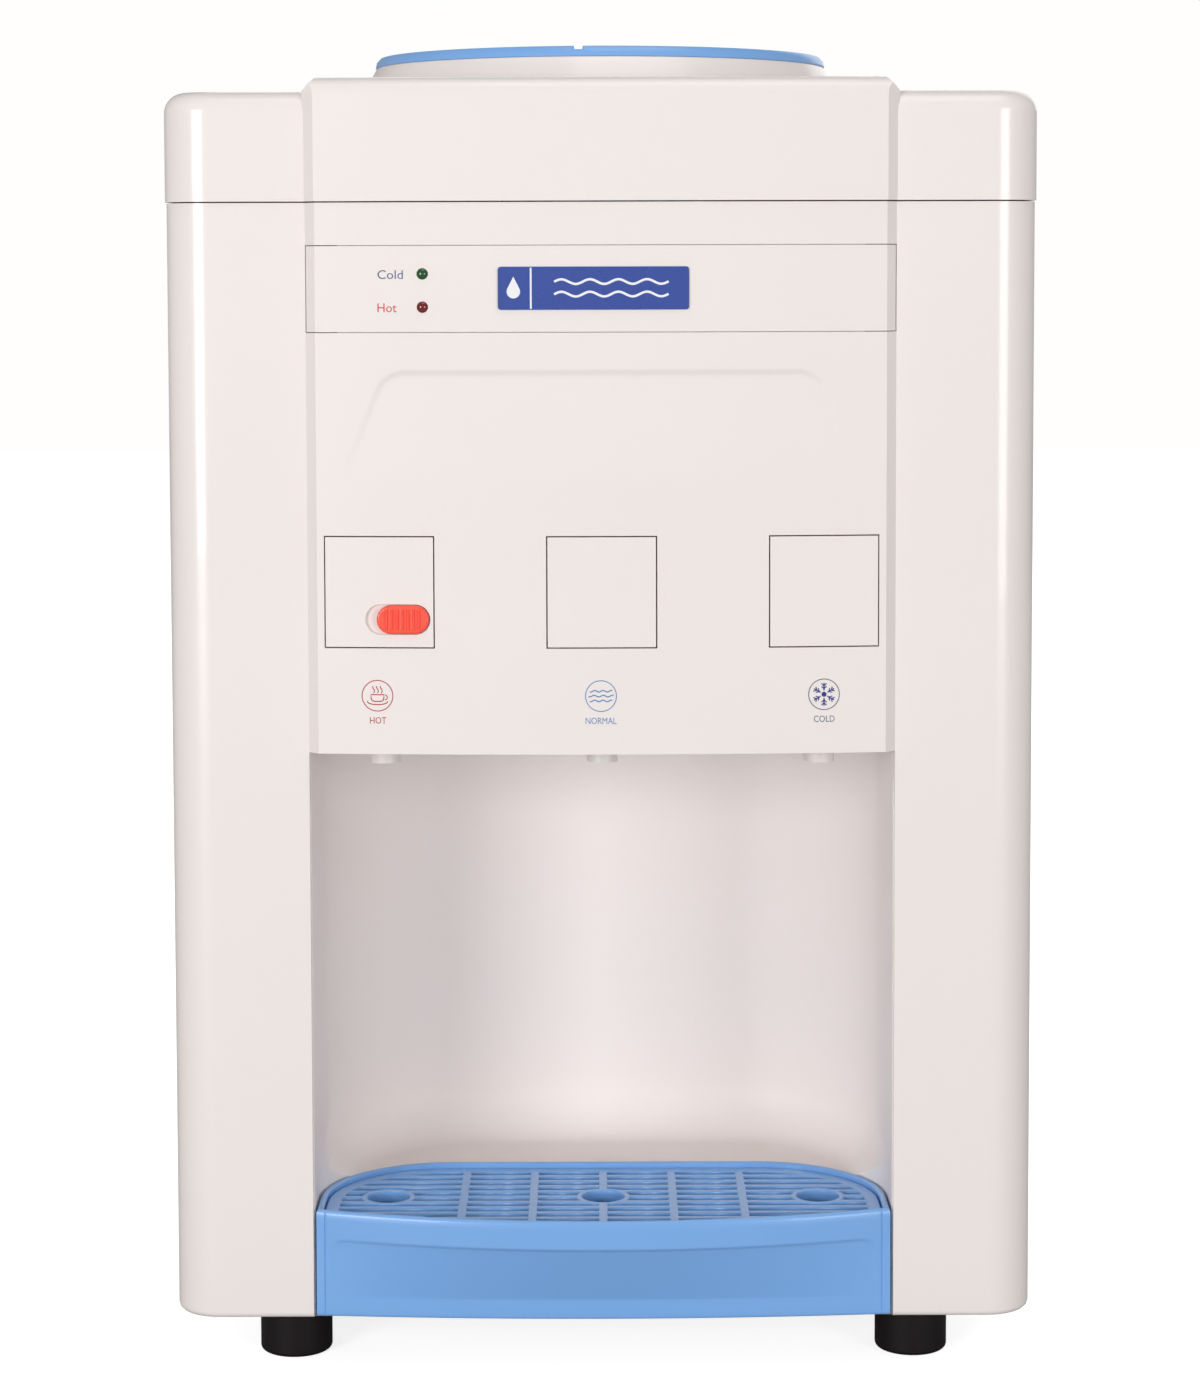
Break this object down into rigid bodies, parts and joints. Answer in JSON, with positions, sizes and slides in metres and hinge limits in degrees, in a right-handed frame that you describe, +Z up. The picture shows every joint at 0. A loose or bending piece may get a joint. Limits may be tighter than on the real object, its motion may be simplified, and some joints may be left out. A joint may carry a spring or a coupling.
{
  "type": "countertop water dispenser",
  "caption": "Countertop hot, normal and cold water dispenser: white cabinet with push-button taps over a cup niche, slide-out drip tray, top bottle seat and rear cooling coil.",
  "frame": {"origin": "centre of the bounding box's base, on the counter under the feet", "axes": "+Z up, -Y to the front with the taps, +X to the right seen from the front"},
  "size_m": [0.3412, 0.3325, 0.5265],
  "materials": {
    "white_plastic": "white plastic",
    "liner_plastic": "liner plastic",
    "side_paint": "side paint",
    "black_paint": "black paint",
    "zinc_steel": "zinc steel",
    "stainless": "stainless",
    "bright_steel": "bright steel",
    "blue_plastic": "blue plastic",
    "orange_plastic": "orange plastic",
    "badge_blue": "badge blue",
    "board_green": "board green",
    "led_green": "led green",
    "led_red": "led red",
    "switch_red": "switch red",
    "switch_green": "switch green",
    "inner_plastic": "inner plastic",
    "foam": "foam",
    "copper": "copper",
    "rubber": "rubber",
    "silicone": "silicone",
    "black_plastic": "black plastic",
    "mica_band": "mica band"
  },
  "bodies": {
    "cabinet": {"front_shell": "white_plastic", "niche_liner": "liner_plastic", "left_side_panel": "side_paint", "right_side_panel": "side_paint", "rear_panel": "zinc_steel", "top_cover": "white_plastic", "base_pan": "zinc_steel", "feet": "rubber", "foot_screws": "bright_steel", "panel_screws": "bright_steel", "display_strip": "white_plastic", "badge_plate": "badge_blue", "indicator_board": "board_green", "cold_led": "led_green", "hot_led": "led_red", "button_carrier": "inner_plastic", "hot_tap_body": "inner_plastic", "normal_tap_body": "inner_plastic", "cold_tap_body": "inner_plastic", "tap_bonnets": "inner_plastic", "hot_spring": "bright_steel", "normal_spring": "bright_steel", "cold_spring": "bright_steel", "seat_gasket": "silicone", "tank_lid": "inner_plastic", "cold_tank": "stainless", "tank_baffle": "inner_plastic", "evaporator_coil": "copper", "tank_insulation": "foam", "tank_shelf": "zinc_steel", "hot_tank": "stainless", "heater_band": "mica_band", "hot_tank_jacket": "foam", "thermostats": "black_plastic", "hot_tank_stand": "zinc_steel", "compressor": "black_paint", "compressor_mounts": "rubber", "terminal_cover": "black_plastic", "filter_drier": "copper", "refrigerant_lines": "copper", "condenser_tube": "black_paint", "condenser_wires": "black_paint", "switch_housings": "black_plastic", "cord_gland": "black_plastic", "drain_spigot": "inner_plastic", "water_hoses": "silicone"},
    "hot_push": {"hot_button": "white_plastic"},
    "normal_push": {"normal_button": "white_plastic"},
    "cold_push": {"cold_button": "white_plastic"},
    "lock_slider": {"child_lock": "orange_plastic"},
    "hot_valve_stem": {"hot_stem": "inner_plastic"},
    "normal_valve_stem": {"normal_stem": "inner_plastic"},
    "cold_valve_stem": {"cold_stem": "inner_plastic"},
    "tray": {"drip_tray": "blue_plastic"},
    "grate": {"drip_grate": "blue_plastic"},
    "seat": {"bottle_seat": "blue_plastic", "bottle_probe": "inner_plastic"},
    "hot_rocker": {"hot_switch": "switch_red"},
    "cold_rocker": {"cold_switch": "switch_green"},
    "cap": {"drain_cap": "blue_plastic"}
  },
  "joints": [
    {"name": "hot_button_press", "type": "hinge", "parent": "cabinet", "child": "hot_push", "pos_m": [-0.0863, -0.14135, 0.328], "axis": [1, 0, 0], "range_deg": [0, 8], "stiffness_Nm_per_rad": 0.5, "springref_deg": -5.73},
    {"name": "normal_button_press", "type": "hinge", "parent": "cabinet", "child": "normal_push", "pos_m": [0, -0.14135, 0.328], "axis": [1, 0, 0], "range_deg": [0, 8], "stiffness_Nm_per_rad": 0.5, "springref_deg": -5.73},
    {"name": "cold_button_press", "type": "hinge", "parent": "cabinet", "child": "cold_push", "pos_m": [0.0863, -0.14135, 0.328], "axis": [1, 0, 0], "range_deg": [0, 8], "stiffness_Nm_per_rad": 0.5, "springref_deg": -5.73},
    {"name": "hot_stem_lift", "type": "slide", "parent": "cabinet", "child": "hot_valve_stem", "axis": [0, 0, 1], "range_m": [0, 0.0028], "deforming": ["hot_spring"]},
    {"name": "normal_stem_lift", "type": "slide", "parent": "cabinet", "child": "normal_valve_stem", "axis": [0, 0, 1], "range_m": [0, 0.0028], "deforming": ["normal_spring"]},
    {"name": "cold_stem_lift", "type": "slide", "parent": "cabinet", "child": "cold_valve_stem", "axis": [0, 0, 1], "range_m": [0, 0.0028], "deforming": ["cold_spring"]},
    {"name": "child_lock_slide", "type": "slide", "parent": "hot_push", "child": "lock_slider", "axis": [-1, 0, 0], "range_m": [0, 0.004], "stiffness_N_per_m": 60},
    {"name": "drip_tray_pull", "type": "slide", "parent": "cabinet", "child": "tray", "axis": [0, -1, 0], "range_m": [0, 0.13]},
    {"name": "drip_grate_lift", "type": "slide", "parent": "tray", "child": "grate", "axis": [0, 0, 1], "range_m": [0, 0.06]},
    {"name": "bottle_seat_lift", "type": "slide", "parent": "cabinet", "child": "seat", "axis": [0, 0, 1], "range_m": [0, 0.13]},
    {"name": "hot_switch_rock", "type": "hinge", "parent": "cabinet", "child": "hot_rocker", "pos_m": [-0.112, 0.15125, 0.13], "axis": [1, 0, 0], "range_deg": [-16, 0]},
    {"name": "cold_switch_rock", "type": "hinge", "parent": "cabinet", "child": "cold_rocker", "pos_m": [-0.084, 0.15125, 0.13], "axis": [1, 0, 0], "range_deg": [-16, 0]},
    {"name": "drain_cap_pull", "type": "slide", "parent": "cabinet", "child": "cap", "axis": [0, 1, 0], "range_m": [0, 0.03]}
  ],
  "couplings": [
    {"joint": "hot_stem_lift", "follows": "hot_button_press", "m_per_rad": 0.0195},
    {"joint": "normal_stem_lift", "follows": "normal_button_press", "m_per_rad": 0.0195},
    {"joint": "cold_stem_lift", "follows": "cold_button_press", "m_per_rad": 0.0195}
  ]
}
